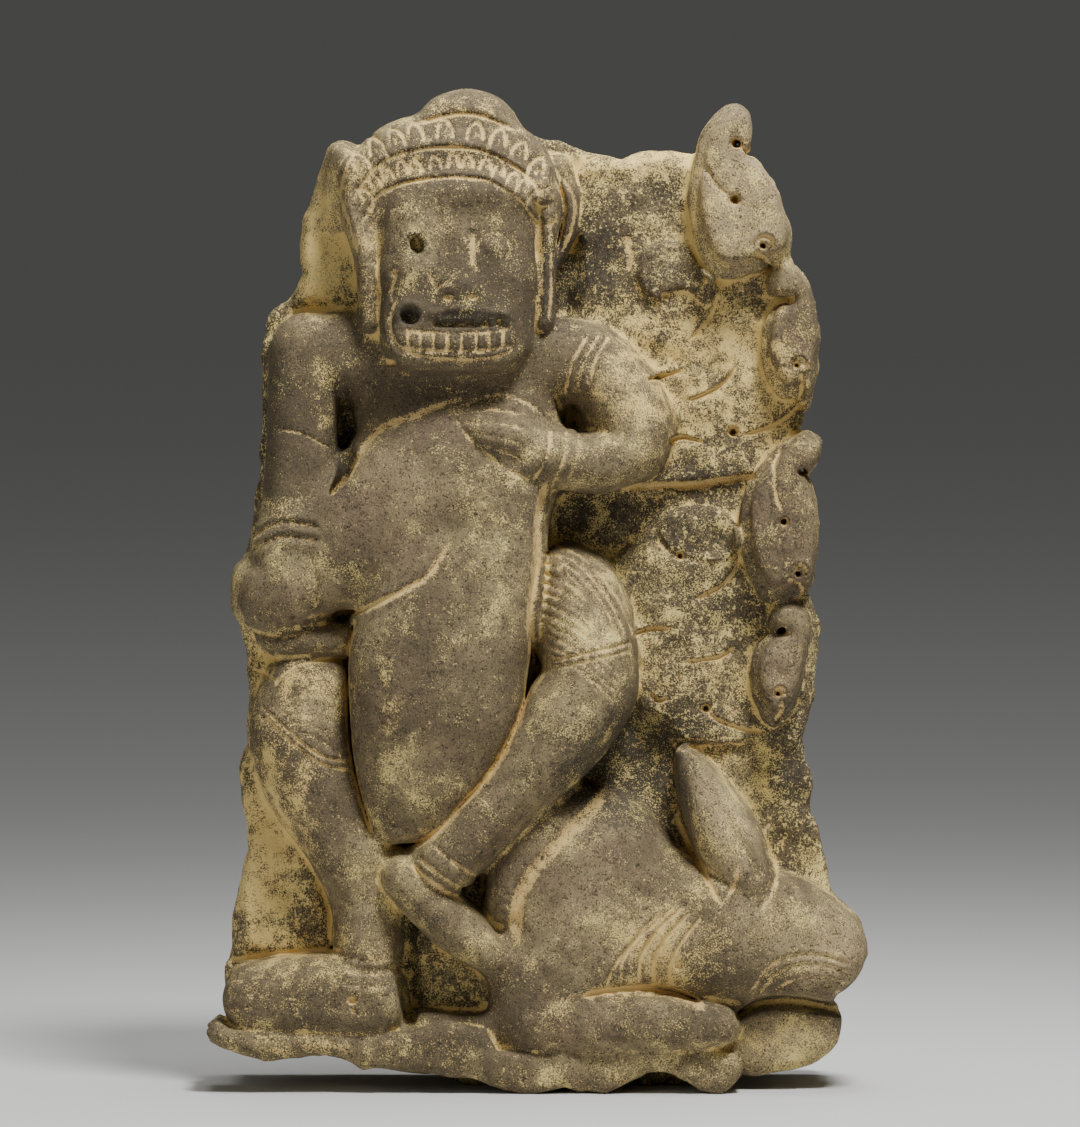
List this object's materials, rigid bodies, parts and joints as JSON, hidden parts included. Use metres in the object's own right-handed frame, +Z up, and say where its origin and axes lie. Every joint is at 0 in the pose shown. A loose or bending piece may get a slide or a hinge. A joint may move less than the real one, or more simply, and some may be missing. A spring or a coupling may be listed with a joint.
{
  "type": "stone relief panel",
  "caption": "Weathered stone panel carved in high relief with a beast-headed, pot-bellied guardian standing cross-legged beside a kneeling bull, under curled leaves.",
  "frame": {"origin": "middle of the panel's bounding box, at the level of its underside", "axes": "+Z up the panel, front of the carving towards -Y, flat back towards +Y, +X to the viewer's right"},
  "size_m": [0.4382, 0.1698, 0.6605],
  "materials": {
    "volcanic_stone": "rough, grainy, weathered"
  },
  "bodies": {
    "root": {"relief_panel": "volcanic_stone"}
  },
  "joints": []
}
